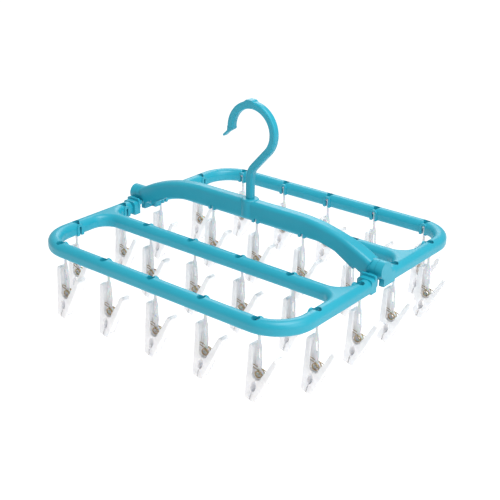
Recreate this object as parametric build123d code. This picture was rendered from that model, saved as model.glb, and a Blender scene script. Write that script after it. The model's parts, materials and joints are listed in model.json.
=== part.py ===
from build123d import *
import math
import os

# A folding clip drying hanger. Two identical half frames hinge on the ends of a central arch,
# which turns on the stem of a hook. Sprung pegs hang in rows from stations along the rails.
# Millimetres, +Z up, X along the arch, -Y to the front. Shapes are drawn with the top of the
# rails at z = 0, and every piece is then moved, so that the hook's seat is at the origin.

# rails
RAIL_WIDTH = 16.0
RAIL_HEIGHT = 16.0
RAIL_WALL = 2.2
RAIL_TOP_WALL = 4.2
RAIL_TOP_ROUND = 7.4
RAIL_BOTTOM_ROUND = 4.0

# half frames: centre lines of the rails
SIDE_X = 179.5
OUTER_Y = 169.4
INNER_Y = 64.2
CORNER_RADIUS = 49.0
JOINT_RADIUS = 18.0

# peg stations
PEG_PITCH = 72.0
OUTER_PEGS = 5
INNER_PEGS = 4
SIDE_OUTER_Y = 113.9
SIDE_INNER_Y = 34.7
STRAP_OFFSET = 5.5
SWING_Z = -6.9
POCKET_RADIUS = 4.4
POCKET_REACH = 7.2
POCKET_DEPTH = 8.0
HEAD_RADIUS = 1.8
HEAD_LENGTH = 5.6
HEAD_ROOM = 0.3
SLOT_HALF = 2.0
SIDE_SLOT_HALF = 2.4
SLIT_HALF = 1.4
STATION_BLOCK = 13.0
SLOT_START = 1.5
RIM_RADIUS = 5.2
RIM_PROUD = 1.0

# arch
ARCH_WIDTH = 17.0
ARCH_HEIGHT = 19.4
ARCH_TOP = 41.3
ARCH_STRAIGHT = 70.0
ARCH_RADIUS = 217.0
ARCH_END_ANGLE = 28.8
ARCH_WALL = 2.2
ARCH_ROUND = 5.5
FLARE_START = 120.0
FLARE_END = 158.0
FLARE_HALF = 10.2
HEEL = [(127.0, 13.5), (152.5, -1.0), (154.0, 6.0), (140.0, 16.0), (127.0, 20.0)]
BOSS_RADIUS = 10.5
BOSS_PROUD = 1.2
BOSS_ROUND = 2.0

# hinges
HINGE_Z = 5.3
BARREL_RADIUS = 10.0
BARREL_START = 158.0
BARREL_END = 174.4
KNUCKLE_IN = (174.7, 180.8)
KNUCKLE_OUT = (181.1, 190.0)
PIN_RADIUS = 3.0
PIN_START = 160.5
PIN_END = 187.0
PIN_CLEARANCE = 0.05
BLOCK_FRONT = 24.0
BLOCK_BACK = 14.2
BLOCK_IN = 168.2
BLOCK_OUT = 187.5
BLOCK_TOP = 0.8
BLOCK_ROUND = 4.0
RIDGE_TOP = 3.5
RIDGE_THICK = 3.2
RIDGE_PROUD = 0.6
RIDGE_ROUND = 2.5
ARM_TOP = 2.0
ARM_OUT = 187.5
ARM_END = -1.0
STOP_START = 168.6
STOP_GAP = 0.4
STOP_BOTTOM = -4.5

# hook
HOOK_X = 2.1
HOOK_HEIGHT = 124.2
HOOK_RADIUS = 30.7
HOOK_BAR = 9.0
HOOK_BAR_ROUND = 2.5
HOOK_LEAN = 48.1
HOOK_KNEE_RADIUS = 22.0
CROWN_X = -2.8
CROWN = [(-13.0, 29.5), (-4.0, 36.7), (4.0, 36.7), (13.0, 29.5)]
CROWN_ROUND = 3.0
NOTCH = [(-2.2, 24.0), (1.1, 27.4), (4.4, 24.0)]
TAIL = [
    (-26.2, 0.5),
    (-26.6, -2.4),
    (-35.1, -8.0),
    (-40.6, -13.1),
    (-42.0, -11.3),
    (-35.4, -5.0),
    (-35.2, 0.5),
]
STEM_RADIUS = 4.0
STEM_BOTTOM = 22.0
RETAINER_Z = 25.0
RETAINER_THICK = 1.6
RETAINER_RADIUS = 6.0
GROOVE_RADIUS = 3.2

# pegs, drawn about the centre of the spring's coil with the jaws down
PEG_WIDTH = 12.0
LEVER_LENGTH = 65.0
HALF_ANGLE = 11.0
JAW_HALF = 6.6
JAW_DROP = 34.0
JAW_GAP = 0.15
PEG_TILT = 15.3
HANDLE_DEPTH = 5.2
LEVER_FLOOR = 1.7
LEVER_SIDE = 1.6
SADDLE_RADIUS = 6.0
WINDOW_HALF = (3.4, 7.0)
WINDOW_DROP = 15.5
KNEE_AT = 47.0
KNEE_DEPTH = 6.1
RECESS_SPAN = (5.0, 33.0)
RECESS_DEPTH = 1.4
RECESS_HALF = 4.1
COIL_Z = -65.5
COIL_RADIUS = 4.2
COIL_LENGTH = 8.4
WAIST_RADIUS = 2.5
WAIST_LENGTH = 2.8
WIRE_RADIUS = 0.45
SPRING_LEG = 11.6
EYE_RADIUS = 4.4
EYE_SHIFT = 2.5
STRAP_THICK = 1.8
EYE_THICK = 2.2

SMALL = 0.02


def box(x0, x1, y0, y1, z0, z1):
    """A block between two corners."""
    return Pos((x0 + x1) / 2, (y0 + y1) / 2, (z0 + z1) / 2) * Box(x1 - x0, y1 - y0, z1 - z0)


def rod_x(x0, x1, y, z, radius):
    """A round bar along X."""
    return Pos((x0 + x1) / 2, y, z) * Rot(0, 90, 0) * Cylinder(radius, x1 - x0)


def rod_y(x, z, radius, half):
    """A round bar along Y, centred on y = 0."""
    return Pos(x, 0, z) * Rot(90, 0, 0) * Cylinder(radius, 2 * half)


def plate_xz(points, half):
    """A flat plate from an outline in the XZ plane, half its thickness each side of y = 0."""
    outline = Polyline(*points, close=True)
    return extrude(Plane.XZ * make_face(outline), half, both=True)


# ---------------------------------------------------------------- stations


def row_x(count):
    """Places of a row's pegs along X."""
    first = -(count - 1) / 2 * PEG_PITCH
    return [first + i * PEG_PITCH for i in range(count)]


def cross_stations():
    """Front half: stations of the outer rail and the inner bar, which open towards +Y."""
    outer = [(x, -OUTER_Y) for x in row_x(OUTER_PEGS)]
    inner = [(x, -INNER_Y) for x in row_x(INNER_PEGS)]
    return outer + inner


def side_stations():
    """Front half: stations of the side rails, which open towards the middle."""
    return [(side * SIDE_X, -y) for side in (-1, 1) for y in (SIDE_OUTER_Y, SIDE_INNER_Y)]


def teardrop():
    """The pocket in the top of a station, with its point towards +Y."""
    spread = math.acos(POCKET_RADIUS / POCKET_REACH)
    touch_x = POCKET_RADIUS * math.sin(spread)
    touch_y = POCKET_RADIUS * math.cos(spread)
    point = Polyline((0, POCKET_REACH), (touch_x, touch_y), (0, 0), (-touch_x, touch_y), close=True)
    return Circle(POCKET_RADIUS) + make_face(point)


def cross_station_cut():
    """Pocket, cavity for the strap's head and slot for its neck, at a cross rail's station."""
    pocket = Pos(0, 0, -POCKET_DEPTH) * extrude(teardrop(), POCKET_DEPTH + 1)
    head_half = HEAD_LENGTH / 2 + HEAD_ROOM
    reach = HEAD_RADIUS + HEAD_ROOM
    front = STRAP_OFFSET - reach
    head = box(-head_half, head_half, front, STRAP_OFFSET + reach, SWING_Z - reach, SWING_Z + reach)
    neck = box(-SLOT_HALF, SLOT_HALF, SLOT_START, RAIL_WIDTH, -RAIL_HEIGHT - 1, SWING_Z + reach)
    return pocket + head + neck


def side_station_cut():
    """The same at a left side rail's station, with a slit towards +X for the strap to slide in."""
    pocket = Pos(0, 0, -POCKET_DEPTH) * extrude(Rot(0, 0, -90) * teardrop(), POCKET_DEPTH + 1)
    head_half = HEAD_LENGTH / 2 + HEAD_ROOM
    reach = HEAD_RADIUS + HEAD_ROOM
    head = box(-head_half, head_half, -reach, reach, SWING_Z - reach, SWING_Z + reach)
    neck = box(-SIDE_SLOT_HALF, SIDE_SLOT_HALF, -4, 7, -RAIL_HEIGHT - 1, SWING_Z)
    slit = box(0, RAIL_WIDTH, -SLIT_HALF, SLIT_HALF, -RAIL_HEIGHT - 1, SWING_Z + reach)
    return pocket + head + neck + slit


def station_rim():
    """The raised rim round a station's slot, on a rail's face towards +Y."""
    round_top = Pos(0, SWING_Z) * Circle(RIM_RADIUS)
    leg = Pos(0, (SWING_Z - RAIL_HEIGHT) / 2) * Rectangle(2 * RIM_RADIUS, RAIL_HEIGHT + SWING_Z)
    face = RAIL_WIDTH / 2
    return Pos(0, face + RIM_PROUD, 0) * extrude(Plane.XZ * (round_top + leg), 3 + RIM_PROUD)


# ---------------------------------------------------------------- half frames


def half_plan(grow):
    """Plan of the front half's rails, each rail's edges moved out by grow."""
    half = RAIL_WIDTH / 2 + grow
    leg_end = -BLOCK_BACK
    outline = box(-SIDE_X - half, SIDE_X + half, -OUTER_Y - half, leg_end, -1, 1)
    outline = fillet(outline.edges().filter_by(Axis.Z).group_by(Axis.Y)[0], CORNER_RADIUS + grow)
    far = box(-SIDE_X + half, SIDE_X - half, -OUTER_Y + half, -INNER_Y - half, -2, 2)
    corners = far.edges().filter_by(Axis.Z).group_by(Axis.Y)
    far = fillet(corners[0], CORNER_RADIUS - RAIL_WIDTH - grow)
    far = fillet(far.edges().filter_by(Axis.Z).group_by(Axis.Y)[-1], JOINT_RADIUS - grow)
    near = box(-SIDE_X + half, SIDE_X - half, -INNER_Y + half, leg_end + 20, -2, 2)
    near = fillet(near.edges().filter_by(Axis.Z).group_by(Axis.Y)[0], JOINT_RADIUS - grow)
    solid = outline - far - near
    return solid.faces().sort_by(Axis.Z)[-1]


def rails():
    """The front half's rails: rounded bars, open underneath, with solid blocks at the stations."""
    top = half_plan(0)
    body = extrude(Pos(0, 0, -top.center().Z) * top, -RAIL_HEIGHT)
    upper = body.faces().sort_by(Axis.Z)[-1].edges()
    body = fillet([e for e in upper if e.center().Y < -BLOCK_BACK - SMALL], RAIL_TOP_ROUND)
    lower = body.faces().sort_by(Axis.Z)[0].edges()
    body = fillet([e for e in lower if e.center().Y < -BLOCK_BACK - SMALL], RAIL_BOTTOM_ROUND)
    inside = half_plan(-RAIL_WALL)
    channel = extrude(Pos(0, 0, -inside.center().Z - RAIL_TOP_WALL) * inside, -RAIL_HEIGHT)
    for x, y in cross_stations():
        channel -= Pos(x, y, 0) * Box(STATION_BLOCK, RAIL_WIDTH + 1, 3 * RAIL_HEIGHT)
    for x, y in side_stations():
        channel -= Pos(x, y + 1.5, 0) * Box(RAIL_WIDTH + 1, STATION_BLOCK + 5, 3 * RAIL_HEIGHT)
    return body - channel


def knuckle(side, span):
    """A hinge knuckle and the arm under it, on the left (-1) or right (1) leg."""
    disc = rod_x(span[0], span[1], 0, HINGE_Z, BARREL_RADIUS)
    arm = box(span[0], min(span[1], ARM_OUT), -BLOCK_BACK - 1, ARM_END, -RAIL_HEIGHT, ARM_TOP)
    piece = disc + arm
    return piece if side > 0 else piece.mirror(Plane.YZ)


def leg_end(side, span):
    """The block at the end of one leg, with the ridge across its top and its knuckle."""
    block = box(BLOCK_IN, BLOCK_OUT, -BLOCK_FRONT, -BLOCK_BACK, -RAIL_HEIGHT, BLOCK_TOP)
    block = fillet(block.edges().filter_by(Axis.Y).group_by(Axis.Z)[-1], BLOCK_ROUND)
    ridge_front = -BLOCK_BACK - RIDGE_THICK
    ridge = box(BLOCK_IN - RIDGE_PROUD, BLOCK_OUT, ridge_front, -BLOCK_BACK, -RAIL_HEIGHT / 2, RIDGE_TOP)
    ridge = fillet(ridge.edges().filter_by(Axis.Y).group_by(Axis.Z)[-1], RIDGE_ROUND)
    end = block + ridge
    if side < 0:
        end = end.mirror(Plane.YZ)
    return end + knuckle(side, span)


def half_frame():
    """The front half. The rear half is the same moulding turned round."""
    body = rails()
    for x, y in cross_stations():
        body += Pos(x, y, 0) * station_rim()
    for x, y in side_stations():
        turn = -90 if x < 0 else 90
        body += Pos(x, y, 0) * Rot(0, 0, turn) * station_rim()
    body += leg_end(-1, KNUCKLE_OUT) + leg_end(1, KNUCKLE_IN)
    bore = PIN_RADIUS + PIN_CLEARANCE
    body -= rod_x(-PIN_END - 0.3, -PIN_START, 0, HINGE_Z, bore)
    body -= rod_x(PIN_START, PIN_END + 0.3, 0, HINGE_Z, bore)
    for x, y in cross_stations():
        body -= Pos(x, y, 0) * cross_station_cut()
    for x, y in side_stations():
        cut = side_station_cut()
        if x > 0:
            cut = cut.mirror(Plane.YZ)
        body -= Pos(x, y, 0) * cut
    return body


# ---------------------------------------------------------------- arch and hinge pins


def arch_profile(top_drop, height, end_angle):
    """Side view of the arch: a straight middle and two arcs that come down to the hinges."""
    top = ARCH_TOP - top_drop
    centre_z = ARCH_TOP - ARCH_RADIUS
    outer = ARCH_RADIUS - top_drop
    inner = outer - height

    def on_arc(radius, angle, side):
        turn = math.radians(angle)
        return (side * (ARCH_STRAIGHT + radius * math.sin(turn)), centre_z + radius * math.cos(turn))

    edges = [
        Line((-ARCH_STRAIGHT, top), (ARCH_STRAIGHT, top)),
        ThreePointArc(
            (ARCH_STRAIGHT, top), on_arc(outer, end_angle / 2, 1), on_arc(outer, end_angle, 1)
        ),
        Line(on_arc(outer, end_angle, 1), on_arc(inner, end_angle, 1)),
        ThreePointArc(
            on_arc(inner, end_angle, 1), on_arc(inner, end_angle / 2, 1), (ARCH_STRAIGHT, top - height)
        ),
        Line((ARCH_STRAIGHT, top - height), (-ARCH_STRAIGHT, top - height)),
        ThreePointArc(
            (-ARCH_STRAIGHT, top - height), on_arc(inner, end_angle / 2, -1), on_arc(inner, end_angle, -1)
        ),
        Line(on_arc(inner, end_angle, -1), on_arc(outer, end_angle, -1)),
        ThreePointArc(
            on_arc(outer, end_angle, -1), on_arc(outer, end_angle / 2, -1), (-ARCH_STRAIGHT, top)
        ),
    ]
    return Plane.XZ * make_face(edges)


def arch_plan():
    """Plan of the arch, which widens smoothly towards its ends."""
    half = ARCH_WIDTH / 2
    middle = ((FLARE_START + FLARE_END) / 2, (half + FLARE_HALF) / 2)
    edges = [
        Line((0, half), (FLARE_START, half)),
        TangentArc((FLARE_START, half), middle, tangent=(1, 0)),
        TangentArc((FLARE_END, FLARE_HALF), middle, tangent=(-1, 0)),
        Line((FLARE_END, FLARE_HALF), (BARREL_END, FLARE_HALF)),
    ]
    quarter = make_face(edges + [Polyline((BARREL_END, FLARE_HALF), (BARREL_END, 0), (0, 0), (0, half))])
    front = quarter + quarter.mirror(Plane.YZ)
    return front + front.mirror(Plane.XZ)


def is_top_edge(edge):
    """True for the long upper edges of the arch."""
    at = edge.position_at(0.5)
    if abs(at.Y) < ARCH_WIDTH / 2 - SMALL or edge.length < 5:
        return False
    if abs(at.X) < ARCH_STRAIGHT:
        return at.Z > ARCH_TOP - SMALL
    reach = math.hypot(abs(at.X) - ARCH_STRAIGHT, at.Z - ARCH_TOP + ARCH_RADIUS)
    return abs(reach - ARCH_RADIUS) < SMALL


def arch():
    """The arch: a channel open underneath, with the hook's boss and a barrel and stop at each end."""
    plan = extrude(Pos(0, 0, -ARCH_TOP) * arch_plan(), 3 * ARCH_TOP)
    body = extrude(arch_profile(0, ARCH_HEIGHT, ARCH_END_ANGLE), FLARE_HALF + 1, both=True) & plan
    body = fillet([e for e in body.edges() if is_top_edge(e)], ARCH_ROUND)
    hollow_half = ARCH_WIDTH / 2 - ARCH_WALL
    hollow = extrude(arch_profile(ARCH_WALL + 0.8, ARCH_HEIGHT, ARCH_END_ANGLE - 4), hollow_half, both=True)
    body -= hollow
    boss = Pos(0, 0, ARCH_TOP - ARCH_HEIGHT) * Cylinder(
        BOSS_RADIUS, ARCH_HEIGHT + BOSS_PROUD, align=(Align.CENTER, Align.CENTER, Align.MIN)
    )
    boss = fillet(boss.edges().sort_by(Axis.Z)[-1], BOSS_ROUND)
    body += boss
    for side in (-1, 1):
        low = BARREL_START if side > 0 else -BARREL_END
        high = BARREL_END if side > 0 else -BARREL_START
        body += rod_x(low, high, 0, HINGE_Z, BARREL_RADIUS)
        low = STOP_START if side > 0 else -BARREL_END
        high = BARREL_END if side > 0 else -STOP_START
        reach = BLOCK_BACK - STOP_GAP
        body += box(low, high, -reach, reach, STOP_BOTTOM, 0)
        body += plate_xz([(side * x, z) for x, z in HEEL], ARCH_WIDTH / 2)
    bore = Pos(0, 0, ARCH_TOP - ARCH_HEIGHT / 2) * Cylinder(STEM_RADIUS + PIN_CLEARANCE, 2 * ARCH_HEIGHT)
    recess_top = RETAINER_Z + RETAINER_THICK + 0.3
    recess = Pos(0, 0, recess_top) * Cylinder(
        RETAINER_RADIUS + 0.4, ARCH_HEIGHT, align=(Align.CENTER, Align.CENTER, Align.MAX)
    )
    body = body - bore - recess
    for low, high in ((-BARREL_END - 1, -PIN_START + 0.3), (PIN_START - 0.3, BARREL_END + 1)):
        body -= rod_x(low, high, 0, HINGE_Z, PIN_RADIUS + SMALL)
    return body


def hinge_pin(side):
    """A plain pin with chamfered ends."""
    low = PIN_START if side > 0 else -PIN_END
    pin = rod_x(low, low + PIN_END - PIN_START, 0, HINGE_Z, PIN_RADIUS)
    return chamfer(pin.edges().filter_by(GeomType.CIRCLE), 0.5)


# ---------------------------------------------------------------- hook


def hook():
    """The hook: a straight stem, a lean, three quarters of a circle and a thin flared tip."""
    lean = math.radians(HOOK_LEAN)
    join = (
        HOOK_X + HOOK_RADIUS * math.sin(lean),
        HOOK_HEIGHT - HOOK_RADIUS * math.cos(lean),
    )
    knee = (0, join[1] - join[0] * math.tan(lean))
    base = (0, ARCH_TOP + BOSS_PROUD + 0.3)
    lead = FilletPolyline(base, knee, join, radius=HOOK_KNEE_RADIUS)
    loop = CenterArc((HOOK_X, HOOK_HEIGHT), HOOK_RADIUS, HOOK_LEAN - 90, 270 - HOOK_LEAN)
    path = Plane.XZ * Wire(lead.edges() + loop.edges())
    section = Plane(origin=(0, 0, base[1]), z_dir=(0, 0, 1)) * RectangleRounded(
        HOOK_BAR, HOOK_BAR, HOOK_BAR_ROUND
    )
    bar = sweep(section, path=path)
    eye = Pos(HOOK_X, 0, HOOK_HEIGHT)
    crown = plate_xz([(CROWN_X + x, z) for x, z in CROWN], HOOK_BAR / 2)
    crown = fillet(crown.edges().filter_by(Axis.Y).group_by(Axis.Z)[-1], CROWN_ROUND)
    crown = eye * (crown - rod_y(0, 0, HOOK_RADIUS, HOOK_BAR))
    notch = eye * plate_xz(NOTCH, HOOK_BAR)
    tail = eye * plate_xz(TAIL, HOOK_BAR / 2 - 1)
    stem_length = base[1] + 1 - STEM_BOTTOM
    stem = Pos(0, 0, STEM_BOTTOM) * Cylinder(
        STEM_RADIUS, stem_length, align=(Align.CENTER, Align.CENTER, Align.MIN)
    )
    stem = chamfer(stem.edges().sort_by(Axis.Z)[0], 0.8)
    groove = Pos(0, 0, RETAINER_Z - 0.1) * (
        Cylinder(STEM_RADIUS + 1, RETAINER_THICK + 0.2, align=(Align.CENTER, Align.CENTER, Align.MIN))
        - Cylinder(GROOVE_RADIUS, RETAINER_THICK + 0.2, align=(Align.CENTER, Align.CENTER, Align.MIN))
    )
    return bar + crown + tail - notch + (stem - groove)


def hook_retainer():
    """A spring clip in the stem's groove that keeps the arch on the hook."""
    ring = Cylinder(RETAINER_RADIUS, RETAINER_THICK) - Cylinder(GROOVE_RADIUS + SMALL, RETAINER_THICK)
    mouth = box(0, RETAINER_RADIUS + 1, -2.4, 2.4, -RETAINER_THICK, RETAINER_THICK)
    return Pos(0, 0, RETAINER_Z + RETAINER_THICK / 2) * (ring - mouth)


# ---------------------------------------------------------------- pegs


def outer_edge(distance, inset=0.0):
    """A point on the right lever's outer face, measured from the jaw's corner, set in by inset."""
    turn = math.radians(HALF_ANGLE)
    x = JAW_HALF + distance * math.sin(turn) - inset * math.cos(turn)
    z = -JAW_DROP + distance * math.cos(turn) + inset * math.sin(turn)
    return (x, z)


def lever_right():
    """The right lever: a channel with side walls, a saddle for the coil and half of the window."""
    end_round = HANDLE_DEPTH / 2
    middle = LEVER_LENGTH - end_round
    low = math.radians(-45)
    lip = (SADDLE_RADIUS, 1.0)
    saddle = (SADDLE_RADIUS * math.cos(low), SADDLE_RADIUS * math.sin(low))
    edges = [
        Line((JAW_GAP, -JAW_DROP), (JAW_HALF, -JAW_DROP)),
        Line((JAW_HALF, -JAW_DROP), outer_edge(middle)),
        ThreePointArc(
            outer_edge(middle), outer_edge(LEVER_LENGTH, end_round), outer_edge(middle, HANDLE_DEPTH)
        ),
        Line(outer_edge(middle, HANDLE_DEPTH), outer_edge(KNEE_AT, KNEE_DEPTH)),
        Line(outer_edge(KNEE_AT, KNEE_DEPTH), lip),
        ThreePointArc(lip, saddle, (JAW_GAP, -SADDLE_RADIUS)),
        Line((JAW_GAP, -SADDLE_RADIUS), (JAW_GAP, -JAW_DROP)),
    ]
    body = extrude(Plane.XZ * make_face(edges), PEG_WIDTH / 2, both=True)
    channel = plate_xz(
        [
            outer_edge(27, 2 * LEVER_FLOOR + 1),
            outer_edge(37, LEVER_FLOOR),
            outer_edge(LEVER_LENGTH - 2, LEVER_FLOOR),
            outer_edge(LEVER_LENGTH - 2, 14),
            (-1, 0),
            (-1, -7.5),
        ],
        PEG_WIDTH / 2 - LEVER_SIDE,
    )
    window = extrude(Plane.XZ * (Pos(0, -WINDOW_DROP) * Ellipse(*WINDOW_HALF)), PEG_WIDTH, both=True)
    low_end, high_end = RECESS_SPAN
    recess = plate_xz(
        [
            outer_edge(low_end, -1),
            outer_edge(high_end, -1),
            outer_edge(high_end, RECESS_DEPTH),
            outer_edge(low_end, RECESS_DEPTH),
        ],
        RECESS_HALF,
    )
    return body - channel - window - recess


def spring():
    """The torsion spring as one solid: a coil with a waist for the strap's eye, and three legs."""
    coil = rod_y(0, 0, WAIST_RADIUS, COIL_LENGTH / 2)
    turns = (COIL_LENGTH - WAIST_LENGTH) / 2
    leg_z = COIL_RADIUS - WIRE_RADIUS - 0.1
    outside = COIL_LENGTH / 2 - WIRE_RADIUS - 0.1
    inside = WAIST_LENGTH / 2 + WIRE_RADIUS + 0.15
    for side in (-1, 1):
        place = side * (COIL_LENGTH - turns) / 2
        coil += Pos(0, place, 0) * Rot(90, 0, 0) * Cylinder(COIL_RADIUS, turns)
        coil += rod_x(0, SPRING_LEG, side * outside, leg_z, WIRE_RADIUS)
        coil += rod_x(-SPRING_LEG + WIRE_RADIUS, 0, side * inside, leg_z, WIRE_RADIUS)
    return coil + rod_y(-SPRING_LEG + WIRE_RADIUS, leg_z, WIRE_RADIUS + 0.05, inside + WIRE_RADIUS + 0.1)


def strap():
    """The hanging strap: a round head, a neck, a slotted plate and an eye round the spring."""
    drop = COIL_Z - SWING_Z
    lean = EYE_SHIFT / drop
    right = [(1.3, 0), (1.3, -19), (3, -27), (3, -45), (1.8, -51), (1.8, drop + 3.5)]
    left = [(-x, z) for x, z in reversed(right)]
    plate = plate_xz([(x + z * lean, z) for x, z in right + left], STRAP_THICK / 2)
    slot = [(-1.1, -42), (1.1, -42), (1.1, -29), (-1.1, -29)]
    plate -= plate_xz([(x + z * lean, z) for x, z in slot], STRAP_THICK)
    head = rod_x(-HEAD_LENGTH / 2, HEAD_LENGTH / 2, 0, 0, HEAD_RADIUS)
    eye = rod_y(EYE_SHIFT, drop, EYE_RADIUS, EYE_THICK / 2)
    hole = rod_y(EYE_SHIFT, drop, WAIST_RADIUS + 0.1, EYE_THICK)
    return Pos(0, 0, SWING_Z) * (plate + head + eye - hole)


def clip_place(x, y):
    """Where a peg's coil is, and how the peg leans."""
    return Pos(x + EYE_SHIFT, y, COIL_Z) * Rot(0, PEG_TILT, 0)


# ---------------------------------------------------------------- writing the pieces


def save(name, shapes):
    """Moves a piece to the hook's frame and writes it."""
    moved = [Pos(-HOOK_X, 0, -HOOK_HEIGHT) * shape for shape in shapes]
    solids = [solid for shape in moved for solid in shape.solids()]
    export_step(solids[0] if len(solids) == 1 else Compound(children=solids), f"parts/{name}.step")
    print(name, len(solids))


def peg_rows():
    """Each row's name and the places of its pegs."""
    rows = {}
    for half, sign in (("front", -1), ("rear", 1)):
        rows[half + "_outer"] = [(x, sign * (OUTER_Y - STRAP_OFFSET)) for x in row_x(OUTER_PEGS)]
        rows[half + "_inner"] = [(x, sign * (INNER_Y - STRAP_OFFSET)) for x in row_x(INNER_PEGS)]
        rows[half + "_side_outer"] = [(side * SIDE_X, sign * SIDE_OUTER_Y) for side in (-1, 1)]
        rows[half + "_side_inner"] = [(side * SIDE_X, sign * SIDE_INNER_Y) for side in (-1, 1)]
    return rows


def main():
    os.makedirs("parts", exist_ok=True)
    save("hook", [hook()])
    save("hook_retainer", [hook_retainer()])
    save("arch", [arch()])
    save("hinge_pin_left", [hinge_pin(-1)])
    save("hinge_pin_right", [hinge_pin(1)])
    front = half_frame()
    save("front_frame", [front])
    save("rear_frame", [Rot(0, 0, 180) * front])
    right = lever_right()
    left = right.mirror(Plane.YZ)
    coil = spring()
    hanger = strap()
    for row, places in peg_rows().items():
        save(row + "_straps", [Pos(x, y, 0) * hanger for x, y in places])
        save(row + "_fixed_levers", [clip_place(x, y) * left for x, y in places])
        save(row + "_springs", [clip_place(x, y) * coil for x, y in places])
        for i, (x, y) in enumerate(places):
            save(f"{row}_lever_{i + 1}", [clip_place(x, y) * right])


main()
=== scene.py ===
"""A folding clip drying hanger, in metres, with its origin at the hook's seat.

The frames, arch, hook and pins keep their CAD shape. The pegs' levers, straps and springs are
modelled again here, finer, at the same places.
"""

import json
import math

import bmesh
import bpy
from mathutils import Matrix, Vector


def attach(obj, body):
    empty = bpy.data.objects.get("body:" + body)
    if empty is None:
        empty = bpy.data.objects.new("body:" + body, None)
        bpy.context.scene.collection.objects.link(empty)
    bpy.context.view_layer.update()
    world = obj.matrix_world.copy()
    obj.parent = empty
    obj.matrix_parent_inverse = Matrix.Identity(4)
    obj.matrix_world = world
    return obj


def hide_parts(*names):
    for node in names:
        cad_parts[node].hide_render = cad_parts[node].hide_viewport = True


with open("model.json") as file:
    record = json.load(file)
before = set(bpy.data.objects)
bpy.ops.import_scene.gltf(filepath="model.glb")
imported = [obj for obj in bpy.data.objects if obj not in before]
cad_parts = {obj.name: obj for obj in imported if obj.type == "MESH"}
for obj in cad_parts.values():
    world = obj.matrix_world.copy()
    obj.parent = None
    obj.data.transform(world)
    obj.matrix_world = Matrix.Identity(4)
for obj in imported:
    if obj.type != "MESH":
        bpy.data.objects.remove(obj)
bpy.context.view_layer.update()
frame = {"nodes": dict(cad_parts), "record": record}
nodes = frame["nodes"]

MM = 0.001

# ------------------------------------------------------------------ sizes, in millimetres, as in the CAD part

HOOK_X, HOOK_HEIGHT = 2.1, 124.2
PEG_PITCH = 72.0
OUTER_Y, INNER_Y = 163.9, 58.7
SIDE_X, SIDE_OUTER_Y, SIDE_INNER_Y = 179.5, 113.9, 34.7
SWING_Z, COIL_Z, EYE_SHIFT = -6.9, -65.5, 2.5

PEG_WIDTH = 12.0
LEVER_LENGTH = 65.0
HALF_ANGLE = 11.0
PEG_TILT = 15.3
JAW_HALF, JAW_DROP, JAW_GAP = 6.6, 34.0, 0.15
JAW_ROUND, HANDLE_ROUND, KNEE_ROUND = 1.2, 2.4, 4.0
TEETH, TOOTH_TOP, TOOTH_PITCH, TOOTH_DEPTH = 5, -24.5, 1.9, 0.75
HANDLE_DEPTH, LEVER_FLOOR, LEVER_SIDE = 5.2, 1.7, 1.6
KNEE_AT, KNEE_DEPTH = 47.0, 6.1
SADDLE_RADIUS = 6.0
CHANNEL_START, CHANNEL_FULL, CHANNEL_END = 27.0, 37.0, 63.0
RECESS_FROM, RECESS_TO, RECESS_DEPTH, RECESS_WALL = (5.0, 6.0), (29.0, 35.0), 1.4, 1.9
WINDOW_HALF, WINDOW_DROP = (3.4, 7.0), 15.5
COIL_RADIUS, COIL_LENGTH, WIRE_RADIUS = 4.2, 8.4, 0.45
WAIST_LENGTH, TURNS, TURN_STEPS = 2.8, 2, 20
LEG_START, LEG_REACH, LEG_TIP, TIP_DROP = 5.5, 10.6, 11.4, 0.5
BAIL_REACH, BAIL_CORNER = 10.4, 11.1

EYE_RADIUS, EYE_HOLE, EYE_THICK, STRAP_THICK = 4.4, 2.6, 2.2, 1.8
HEAD_RADIUS, HEAD_LENGTH = 1.8, 5.6
STRAP_SLOT_RADIUS, STRAP_SLOT_TOP, STRAP_SLOT_BOTTOM = 1.1, -30.1, -40.9
# half width and height of the strap's edge, from its head down to its waist
STRAP_EDGE = [(1.3, 0.9), (1.3, -18), (1.7, -21), (2.8, -26)]
STRAP_EDGE += [(3.0, -28), (3.0, -44.5), (2.6, -47), (1.8, -51)]
STRAP_END = 3.2
LEVER_SOFT, STRAP_SOFT = 0.4, 0.3
CUT_SPARE = 1.0


def row_x(count):
    """Places of a row's pegs along X."""
    return [(i - (count - 1) / 2) * PEG_PITCH for i in range(count)]


def peg_rows():
    """Each row's name and the places of its pegs."""
    rows = {}
    for half, sign in (("front", -1), ("rear", 1)):
        rows[half + "_outer"] = [(x, sign * OUTER_Y) for x in row_x(5)]
        rows[half + "_inner"] = [(x, sign * INNER_Y) for x in row_x(4)]
        rows[half + "_side_outer"] = [(side * SIDE_X, sign * SIDE_OUTER_Y) for side in (-1, 1)]
        rows[half + "_side_inner"] = [(side * SIDE_X, sign * SIDE_INNER_Y) for side in (-1, 1)]
    return rows


# ------------------------------------------------------------------ materials


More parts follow.
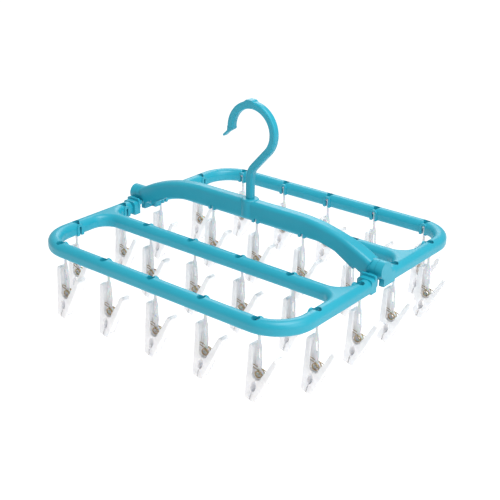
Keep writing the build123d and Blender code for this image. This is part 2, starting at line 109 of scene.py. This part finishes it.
class Nodes:
    """A material's node tree, with short calls for the nodes that the looks here need."""

    def __init__(self, name):
        self.material = bpy.data.materials.new(name)
        self.material.use_nodes = True
        self.tree = self.material.node_tree
        self.shader = self.tree.nodes["Principled BSDF"]

    def node(self, kind, **settings):
        made = self.tree.nodes.new(kind)
        for key, value in settings.items():
            setattr(made, key, value)
        return made

    def link(self, source, target):
        self.tree.links.new(source, target)

    def place(self, stretch=(1, 1, 1)):
        """Object coordinates in metres, stretched."""
        coordinates = self.node("ShaderNodeTexCoord")
        mapping = self.node("ShaderNodeMapping")
        mapping.inputs["Scale"].default_value = stretch
        self.link(coordinates.outputs["Object"], mapping.inputs["Vector"])
        return mapping.outputs["Vector"]

    def noise(self, scale, detail=3.0, roughness=0.5, stretch=(1, 1, 1)):
        texture = self.node("ShaderNodeTexNoise")
        texture.inputs["Scale"].default_value = scale
        texture.inputs["Detail"].default_value = detail
        texture.inputs["Roughness"].default_value = roughness
        self.link(self.place(stretch), texture.inputs["Vector"])
        return texture.outputs["Fac"]

    def ramp(self, source, low, high, start=0.35, end=0.65):
        """A two-colour ramp between start and end."""
        ramp = self.node("ShaderNodeValToRGB")
        first, last = ramp.color_ramp.elements
        first.position, last.position = start, end
        first.color, last.color = (*low, 1), (*high, 1)
        self.link(source, ramp.inputs["Fac"])
        return ramp.outputs["Color"]

    def span(self, source, low, high):
        """Maps 0.3 to 0.7 of a noise onto low to high."""
        mapped = self.node("ShaderNodeMapRange")
        mapped.inputs["From Min"].default_value = 0.3
        mapped.inputs["From Max"].default_value = 0.7
        mapped.inputs["To Min"].default_value = low
        mapped.inputs["To Max"].default_value = high
        self.link(source, mapped.inputs["Value"])
        return mapped.outputs["Result"]

    def bump(self, height, strength, distance, below=None):
        """A bump of a few hundredths of a millimetre, on top of another one if it is given."""
        made = self.node("ShaderNodeBump")
        made.inputs["Strength"].default_value = strength
        made.inputs["Distance"].default_value = distance
        self.link(height, made.inputs["Height"])
        if below is not None:
            self.link(below, made.inputs["Normal"])
        return made.outputs["Normal"]

    def set(self, **values):
        for key, value in values.items():
            self.shader.inputs[key.replace("_", " ")].default_value = value


def frame_plastic():
    """Satin moulded polypropylene in a mid turquoise, with faint flow marks and a fine moulded grain."""
    m = Nodes("frame_plastic")
    flow = m.noise(16.0, 2.0, 0.45, (1.0, 1.0, 2.6))
    m.link(m.ramp(flow, (0.012, 0.338, 0.462), (0.015, 0.354, 0.480)), m.shader.inputs["Base Color"])
    m.link(m.span(m.noise(140.0, 4.0, 0.6), 0.32, 0.40), m.shader.inputs["Roughness"])
    grain = m.bump(m.noise(2600.0, 2.0, 0.6), 0.10, 0.0001)
    m.link(m.bump(m.noise(55.0, 2.0), 0.06, 0.0008, grain), m.shader.inputs["Normal"])
    m.set(Specular_IOR_Level=0.45)
    return m.material


def peg_plastic():
    """Milky polypropylene: light passes a few millimetres into it, and it is cloudier in places."""
    m = Nodes("peg_plastic")
    cloud = m.noise(130.0, 4.0, 0.6)
    m.link(m.ramp(cloud, (0.86, 0.85, 0.88), (0.93, 0.93, 0.94)), m.shader.inputs["Base Color"])
    m.link(m.span(m.noise(420.0, 3.0), 0.30, 0.44), m.shader.inputs["Roughness"])
    grain = m.bump(m.noise(3000.0, 2.0), 0.10, 0.0001)
    m.link(m.bump(m.noise(240.0, 2.0), 0.15, 0.0004, grain), m.shader.inputs["Normal"])
    m.set(Subsurface_Weight=0.6, Subsurface_Scale=0.006, IOR=1.49)
    m.shader.inputs["Subsurface Radius"].default_value = (1.0, 0.95, 0.9)
    return m.material


def strap_plastic():
    """The straps' clearer polypropylene, glossier and a little greyer than the pegs."""
    m = Nodes("strap_plastic")
    cloud = m.noise(180.0, 4.0, 0.6)
    m.link(m.ramp(cloud, (0.78, 0.83, 0.86), (0.86, 0.89, 0.91)), m.shader.inputs["Base Color"])
    m.link(m.span(m.noise(500.0, 3.0), 0.16, 0.28), m.shader.inputs["Roughness"])
    m.link(m.bump(m.noise(300.0, 3.0), 0.20, 0.0004), m.shader.inputs["Normal"])
    m.set(Subsurface_Weight=0.3, Subsurface_Scale=0.002, Transmission_Weight=0.08, IOR=1.49)
    return m.material


def spring_wire():
    """Brass plated wire with fine drawing marks and duller patches."""
    m = Nodes("spring_wire")
    patches = m.noise(900.0, 4.0, 0.6)
    m.link(m.ramp(patches, (0.34, 0.26, 0.16), (0.58, 0.46, 0.30)), m.shader.inputs["Base Color"])
    m.link(m.span(m.noise(1500.0, 3.0), 0.22, 0.40), m.shader.inputs["Roughness"])
    m.link(m.bump(m.noise(5000.0, 2.0, 0.5, (1.0, 0.15, 1.0)), 0.15, 0.0001), m.shader.inputs["Normal"])
    m.set(Metallic=1.0)
    return m.material


def pin_steel():
    """Ground steel pins, with turning marks round them and slight tarnish."""
    m = Nodes("pin_steel")
    marks = m.noise(900.0, 3.0, 0.5, (4.0, 0.4, 0.4))
    m.link(m.ramp(marks, (0.42, 0.42, 0.43), (0.62, 0.62, 0.63)), m.shader.inputs["Base Color"])
    m.link(m.span(marks, 0.24, 0.42), m.shader.inputs["Roughness"])
    m.link(m.bump(marks, 0.15, 0.0001), m.shader.inputs["Normal"])
    m.set(Metallic=1.0)
    return m.material


def studio_white(name, colour):
    """Matt painted studio paper with a very faint unevenness."""
    m = Nodes(name)
    dark = tuple(0.985 * c for c in colour)
    m.link(m.ramp(m.noise(3.0, 2.0), dark, colour), m.shader.inputs["Base Color"])
    m.set(Roughness=0.9, Specular_IOR_Level=0.1)
    m.set(Emission_Color=(1.0, 1.0, 1.0, 1.0), Emission_Strength=0.60)
    return m.material


FINISHES = {
    "frame_plastic": frame_plastic(),
    "peg_plastic": peg_plastic(),
    "strap_plastic": strap_plastic(),
    "spring_wire": spring_wire(),
    "pin_steel": pin_steel(),
}


# ------------------------------------------------------------------ mesh tools, in millimetres


def mesh_object(name, bm):
    """A linked object from a bmesh."""
    bmesh.ops.recalc_face_normals(bm, faces=bm.faces)
    mesh = bpy.data.meshes.new(name)
    bm.to_mesh(mesh)
    bm.free()
    made = bpy.data.objects.new(name, mesh)
    bpy.context.scene.collection.objects.link(made)
    return made


def slab(outline, low, high):
    """A flat solid: an outline in the XZ plane, from y = low to y = high."""
    bm = bmesh.new()
    face = bm.faces.new([bm.verts.new((x, low, z)) for x, z in outline])
    grown = bmesh.ops.extrude_face_region(bm, geom=[face])["geom"]
    moved = [g for g in grown if isinstance(g, bmesh.types.BMVert)]
    bmesh.ops.translate(bm, verts=moved, vec=(0, high - low, 0))
    return mesh_object("slab", bm)


def arc(cx, cz, radius, start, end, steps):
    """Points on an arc in the XZ plane, angles in degrees from +X towards +Z."""
    turns = [math.radians(start + (end - start) * i / steps) for i in range(steps + 1)]
    return [(cx + radius * math.cos(t), cz + radius * math.sin(t)) for t in turns]


def remove(*objects):
    """Deletes mesh objects with their meshes."""
    for thing in objects:
        mesh = thing.data
        bpy.data.objects.remove(thing)
        bpy.data.meshes.remove(mesh)


def combine(target, tool, operation):
    """Cuts a tool from a target, or joins it on, and deletes the tool."""
    modifier = target.modifiers.new("boolean", "BOOLEAN")
    modifier.operation = operation
    modifier.solver = "EXACT"
    modifier.object = tool
    bake(target)
    remove(tool)


def bake(target):
    """Replaces an object's mesh with its evaluated one."""
    bpy.context.view_layer.update()
    evaluated = target.evaluated_get(bpy.context.evaluated_depsgraph_get())
    old = target.data
    target.data = bpy.data.meshes.new_from_object(evaluated)
    target.modifiers.clear()
    bpy.data.meshes.remove(old)


def soften(target, width, segments=2, angle=34.0):
    """Rounds an object's sharp edges and evens its shading."""
    bm = bmesh.new()
    bm.from_mesh(target.data)
    bmesh.ops.remove_doubles(bm, verts=bm.verts, dist=0.01)
    bmesh.ops.dissolve_limit(bm, angle_limit=math.radians(0.5), verts=bm.verts, edges=bm.edges)
    for face in bm.faces:
        face.smooth = True
    bm.to_mesh(target.data)
    bm.free()
    bevel = target.modifiers.new("bevel", "BEVEL")
    bevel.width = width
    bevel.segments = segments
    bevel.limit_method = "ANGLE"
    bevel.angle_limit = math.radians(angle)
    bevel.harden_normals = True
    bevel.use_clamp_overlap = True
    even = target.modifiers.new("even", "WEIGHTED_NORMAL")
    even.keep_sharp = True
    bake(target)


# ------------------------------------------------------------------ peg lever


def outer_edge(distance, inset=0.0):
    """A point on the right lever's outer face, measured from the jaw's corner, set in by inset."""
    turn = math.radians(HALF_ANGLE)
    x = JAW_HALF + distance * math.sin(turn) - inset * math.cos(turn)
    z = -JAW_DROP + distance * math.cos(turn) + inset * math.sin(turn)
    return (x, z)


def corner(before, at, after, radius, steps=5):
    """Points of a rounded corner."""
    a, p, b = Vector(before), Vector(at), Vector(after)
    u, v = (a - p).normalized(), (b - p).normalized()
    half = u.angle(v) / 2
    reach = radius / math.tan(half)
    centre = p + (u + v).normalized() * radius / math.sin(half)
    first, last = p + u * reach - centre, p + v * reach - centre
    points = []
    for i in range(steps + 1):
        blend = first.lerp(last, i / steps)
        points.append(tuple(centre + blend.normalized() * radius))
    return points


def lever_outline():
    """The right lever's side view, with a rounded jaw corner, a round handle tip and gripping teeth."""
    start = (JAW_GAP, -JAW_DROP)
    foot = (JAW_HALF, -JAW_DROP)
    crown = outer_edge(LEVER_LENGTH)
    back = outer_edge(LEVER_LENGTH, HANDLE_DEPTH)
    knee = outer_edge(KNEE_AT, KNEE_DEPTH)
    lip = (SADDLE_RADIUS, 1.0)
    low = (JAW_GAP, -SADDLE_RADIUS)
    points = [start]
    points += corner(start, foot, crown, JAW_ROUND)
    points += corner(foot, crown, back, HANDLE_ROUND, 7)
    points += corner(crown, back, knee, HANDLE_ROUND, 7)
    points += corner(back, knee, lip, KNEE_ROUND)
    points += [lip] + arc(0, 0, SADDLE_RADIUS, 0, -88.3, 14)
    teeth = []
    for i in range(TEETH):
        z = TOOTH_TOP - TOOTH_PITCH * i
        teeth += [(JAW_GAP, z), (JAW_GAP + TOOTH_DEPTH, z - TOOTH_DEPTH), (JAW_GAP, z - 2 * TOOTH_DEPTH)]
    return points + [low] + teeth


def lever_mesh():
    """The right lever, in the peg's own frame, as a baked mesh in metres."""
    half = PEG_WIDTH / 2
    body = slab(lever_outline(), -half, half)
    channel = [
        outer_edge(CHANNEL_START, 2 * LEVER_FLOOR + 1),
        outer_edge(CHANNEL_FULL, LEVER_FLOOR),
        outer_edge(CHANNEL_END, LEVER_FLOOR),
        outer_edge(CHANNEL_END, 14),
        (-1, 0),
        (-1, -7.5),
    ]
    combine(body, slab(channel, -half + LEVER_SIDE, half - LEVER_SIDE), "DIFFERENCE")
    window = [(WINDOW_HALF[0] * x, WINDOW_HALF[1] * z - WINDOW_DROP) for x, z in arc(0, 0, 1, 0, 330, 27)]
    combine(body, slab(window, -half - CUT_SPARE, half + CUT_SPARE), "DIFFERENCE")
    recess = [
        outer_edge(RECESS_FROM[0], -CUT_SPARE),
        outer_edge(RECESS_FROM[1], RECESS_DEPTH),
        outer_edge(RECESS_TO[0], RECESS_DEPTH),
        outer_edge(RECESS_TO[1], -CUT_SPARE),
    ]
    combine(body, slab(recess, -half + RECESS_WALL, half - RECESS_WALL), "DIFFERENCE")
    soften(body, LEVER_SOFT)
    mesh = body.data.copy()
    mesh.transform(Matrix.Scale(MM, 4))
    remove(body)
    return mesh


def mirrored(mesh):
    """The same mesh mirrored in X."""
    made = mesh.copy()
    made.transform(Matrix.Scale(-1, 4, (1, 0, 0)))
    made.flip_normals()
    return made


# ------------------------------------------------------------------ strap and spring


def strap_mesh():
    """The hanging strap, with its origin at the swing axis, as a baked mesh in metres."""
    drop = COIL_Z - SWING_Z
    lean = EYE_SHIFT / drop

    def leaned(points):
        return [(x + z * lean, z) for x, z in points]

    right = STRAP_EDGE + [(STRAP_EDGE[-1][0], drop + STRAP_END)]
    strip = slab(leaned(right + [(-x, z) for x, z in reversed(right)]), -STRAP_THICK / 2, STRAP_THICK / 2)
    slot_top = arc(0, STRAP_SLOT_TOP, STRAP_SLOT_RADIUS, 0, 180, 6)
    slot_bottom = arc(0, STRAP_SLOT_BOTTOM, STRAP_SLOT_RADIUS, 180, 360, 6)
    combine(strip, slab(leaned(slot_top + slot_bottom), -2, 2), "DIFFERENCE")
    eye = arc(EYE_SHIFT, drop, EYE_RADIUS, 0, 345, 23)
    combine(strip, slab(eye, -EYE_THICK / 2, EYE_THICK / 2), "UNION")
    combine(strip, slab(arc(EYE_SHIFT, drop, EYE_HOLE, 0, 342, 19), -2, 2), "DIFFERENCE")
    head = slab(arc(0, 0, HEAD_RADIUS, 0, 337.5, 15), -HEAD_LENGTH / 2, HEAD_LENGTH / 2)
    head.data.transform(Matrix.Rotation(math.radians(90), 4, "Z"))
    combine(strip, head, "UNION")
    soften(strip, STRAP_SOFT)
    mesh = strip.data.copy()
    mesh.transform(Matrix.Scale(MM, 4))
    remove(strip)
    return mesh


def wire_path():
    """The double torsion spring's centre line: two legs to the right, a bail to the left."""
    radius = COIL_RADIUS - WIRE_RADIUS
    outer = COIL_LENGTH / 2 - WIRE_RADIUS
    inner = WAIST_LENGTH / 2 + WIRE_RADIUS
    front = [(LEG_TIP, -outer, radius - TIP_DROP), (LEG_REACH, -outer, radius), (LEG_START, -outer, radius)]
    for i in range(TURNS * TURN_STEPS + 1):
        turn = math.radians(90) + 2 * math.pi * i / TURN_STEPS
        y = -outer + (outer - inner) * i / (TURNS * TURN_STEPS)
        front.append((radius * math.cos(turn), y, radius * math.sin(turn)))
    front += [(-LEG_START, -inner, radius), (-BAIL_REACH, -inner, radius)]
    front += [(-BAIL_CORNER, -inner + 0.3, radius), (-LEG_TIP, -inner + 0.9, radius)]
    return front + [(x, -y, z) for x, y, z in reversed(front)]


def spring_mesh():
    """The spring as a tube along its path, as a baked mesh in metres."""
    curve = bpy.data.curves.new("spring", "CURVE")
    curve.dimensions = "3D"
    curve.bevel_depth = WIRE_RADIUS
    curve.bevel_resolution = 2
    curve.use_fill_caps = True
    path = wire_path()
    spline = curve.splines.new("POLY")
    spline.points.add(len(path) - 1)
    for point, place in zip(spline.points, path):
        point.co = (*place, 1)
    made = bpy.data.objects.new("spring", curve)
    bpy.context.scene.collection.objects.link(made)
    bpy.context.view_layer.update()
    mesh = bpy.data.meshes.new_from_object(made.evaluated_get(bpy.context.evaluated_depsgraph_get()))
    bpy.data.objects.remove(made)
    bpy.data.curves.remove(curve)
    mesh.transform(Matrix.Scale(MM, 4))
    return mesh


# ------------------------------------------------------------------ placing the pieces

KEPT_CAD = ("hook", "arch", "front_frame", "rear_frame", "hinge_pin_left", "hinge_pin_right", "hook_retainer")


def at_coil(x, y):
    """The peg's own frame at a place, in the row frame."""
    place = Vector((x + EYE_SHIFT - HOOK_X, y, COIL_Z - HOOK_HEIGHT)) * MM
    return Matrix.Translation(place) @ Matrix.Rotation(math.radians(PEG_TILT), 4, "Y")


def at_swing(x, y):
    """The top of a strap at a place, in the row frame."""
    return Matrix.Translation(Vector((x - HOOK_X, y, SWING_Z - HOOK_HEIGHT)) * MM)


def piece(name, mesh, places, body, slot, node):
    """One visible piece made of copies of a mesh, riding on a body in place of a CAD node."""
    bm = bmesh.new()
    for place in places:
        copy = mesh.copy()
        copy.transform(place)
        bm.from_mesh(copy)
        bpy.data.meshes.remove(copy)
    joined = bpy.data.meshes.new(name)
    bm.to_mesh(joined)
    bm.free()
    joined.materials.clear()
    joined.materials.append(FINISHES[slot])
    made = bpy.data.objects.new(name, joined)
    bpy.context.scene.collection.objects.link(made)
    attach(made, body)
    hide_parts(node)


def dress_cad():
    """The frames, arch, hook and pins keep their CAD shape and get their finishes."""
    slots = {part["node"]: part["material_slot"] for part in frame["record"]["subparts"]}
    for name in KEPT_CAD:
        data = nodes[name].data
        data.materials.clear()
        data.materials.append(FINISHES[slots[name]])


def hang_pegs():
    """Every row's straps, springs and levers."""
    right = lever_mesh()
    left = mirrored(right)
    strap = strap_mesh()
    spring = spring_mesh()
    for row, places in peg_rows().items():
        body = row + "_row"
        coils = [at_coil(x, y) for x, y in places]
        swings = [at_swing(x, y) for x, y in places]
        piece(row + "_straps_look", strap, swings, body, "strap_plastic", row + "_straps")
        piece(row + "_fixed_look", left, coils, body, "peg_plastic", row + "_fixed_levers")
        piece(row + "_springs_look", spring, coils, body, "spring_wire", row + "_springs")
        for i, coil in enumerate(coils):
            node = f"{row}_lever_{i + 1}"
            piece(node + "_look", right, [coil], node + "_body", "peg_plastic", node)


# ------------------------------------------------------------------ studio, in metres

MIDDLE = (0, 0, -0.12)
FLOOR_Z, FLOOR_SIZE = -1.3, 30.0
# each soft box's place, the point it faces, its size, its power in watts and its colour
SOFT_BOXES = {
    "key": ((0.9, -0.1, 2.3), MIDDLE, 1.6, 54.0, (1.0, 0.99, 0.97)),
    "fill": ((2.2, -0.3, 0.9), MIDDLE, 1.4, 16.0, (0.97, 0.99, 1.0)),
    "rim": ((-0.84, 1.23, 0.80), (0.12, -0.1, -0.12), 0.9, 7.0, (1.0, 1.0, 1.0)),
}
CAMERA_PLACE = (0.6879, -0.8687, 0.3362)
CAMERA_TURN = (66.391, -0.864, 38.798)
CAMERA_LENS = 72.54


def sheet(name, size, height, colour):
    """A large level sheet of studio paper."""
    bm = bmesh.new()
    bmesh.ops.create_grid(bm, x_segments=8, y_segments=8, size=size / 2)
    made = mesh_object(name, bm)
    made.location = (0, 0, height)
    made.data.materials.append(studio_white(name + "_paper", colour))


def light(name, place, target, size, power, colour):
    """A square soft box."""
    data = bpy.data.lights.new(name, "AREA")
    data.shape = "SQUARE"
    data.size = size
    data.energy = power
    data.color = colour
    made = bpy.data.objects.new(name, data)
    made.location = place
    made.rotation_euler = (Vector(place) - Vector(target)).to_track_quat("Z", "Y").to_euler()
    bpy.context.scene.collection.objects.link(made)


def studio():
    """Pale floor, soft lights and the camera."""
    sheet("floor", FLOOR_SIZE, FLOOR_Z, (0.93, 0.93, 0.93))
    for name, (place, target, size, power, colour) in SOFT_BOXES.items():
        light(name, place, target, size, power, colour)
    world = bpy.data.worlds.new("studio")
    world.use_nodes = True
    background = world.node_tree.nodes["Background"]
    background.inputs["Color"].default_value = (1.0, 1.0, 1.0, 1.0)
    background.inputs["Strength"].default_value = 0.50
    bpy.context.scene.world = world
    bpy.context.scene.view_settings.view_transform = "Standard"
    camera = bpy.data.cameras.new("camera")
    camera.lens = CAMERA_LENS
    camera.sensor_width = 36.0
    made = bpy.data.objects.new("camera", camera)
    made.location = CAMERA_PLACE
    made.rotation_euler = [math.radians(a) for a in CAMERA_TURN]
    bpy.context.scene.collection.objects.link(made)
    bpy.context.scene.camera = made


dress_cad()
hang_pegs()
studio()
